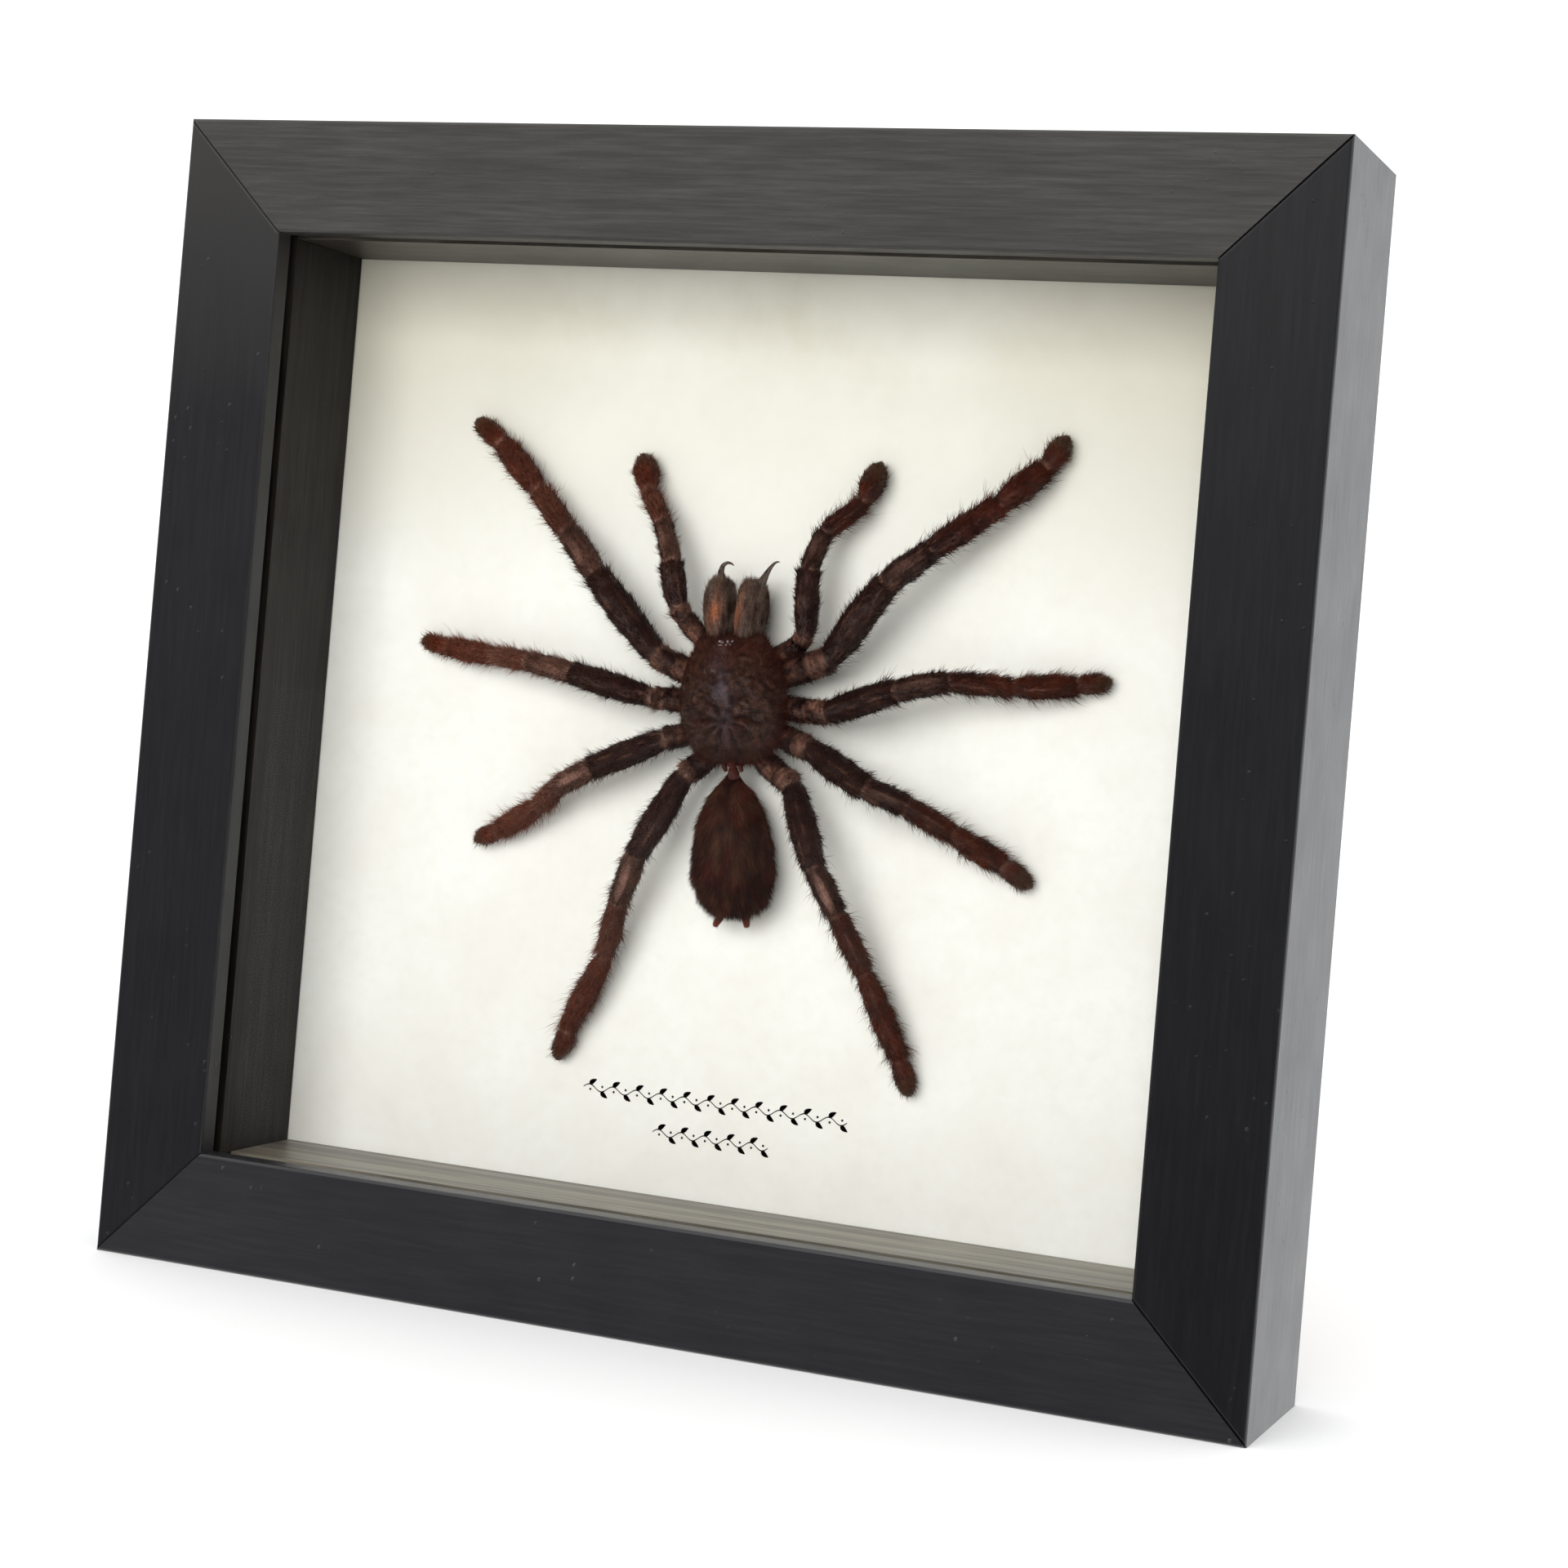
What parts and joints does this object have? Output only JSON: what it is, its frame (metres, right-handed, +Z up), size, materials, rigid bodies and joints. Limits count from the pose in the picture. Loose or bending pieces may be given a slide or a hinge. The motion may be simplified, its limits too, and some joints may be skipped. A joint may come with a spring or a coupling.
{
  "type": "framed tarantula specimen",
  "caption": "Dried tarantula laid out on a pale card behind glass, in a square black wooden shadow-box frame that stands on its edge.",
  "frame": {"origin": "middle of the footprint that the frame stands on", "axes": "+X to the right across the front, +Z up, and the glass faces -Y"},
  "size_m": [0.2, 0.035, 0.194],
  "materials": {
    "frame_paint": "black satin paint over brushed wood grain",
    "spacer_paint": "black semi-gloss paint over wood grain",
    "pane": "clear polished",
    "card": "matt parchment card",
    "board": "smooth brown hardboard",
    "steel": "zinc plated",
    "carapace": "dried shell with short golden hair",
    "abdomen_hide": "dark brown velvet hair",
    "jaw_hide": "grey-brown hair with bare orange stripes",
    "leg_hide": "dark red-brown hair over dried shell",
    "fang_horn": "smooth dark horn"
  },
  "bodies": {
    "root": {"rail_top": "frame_paint", "rail_bottom": "frame_paint", "stile_left": "frame_paint", "stile_right": "frame_paint", "glass_pane": "pane", "spacer_top": "spacer_paint", "spacer_bottom": "spacer_paint", "spacer_left": "spacer_paint", "spacer_right": "spacer_paint", "mount_card": "card", "backing_board": "board", "flat_point_1": "steel", "flat_point_2": "steel", "flat_point_3": "steel", "flat_point_4": "steel", "flat_point_5": "steel", "flat_point_6": "steel", "flat_point_7": "steel", "flat_point_8": "steel", "hanger_plate": "steel", "hanger_rivet_left": "steel", "hanger_rivet_right": "steel", "cephalothorax": "carapace", "abdomen": "abdomen_hide", "chelicera_left": "jaw_hide", "chelicera_right": "jaw_hide", "fang_left": "fang_horn", "fang_right": "fang_horn", "palp_left": "leg_hide", "palp_right": "leg_hide", "leg_1_left": "leg_hide", "leg_2_left": "leg_hide", "leg_3_left": "leg_hide", "leg_4_left": "leg_hide", "leg_1_right": "leg_hide", "leg_2_right": "leg_hide", "leg_3_right": "leg_hide", "leg_4_right": "leg_hide", "spinneret_left": "abdomen_hide", "spinneret_right": "abdomen_hide"}
  },
  "joints": []
}
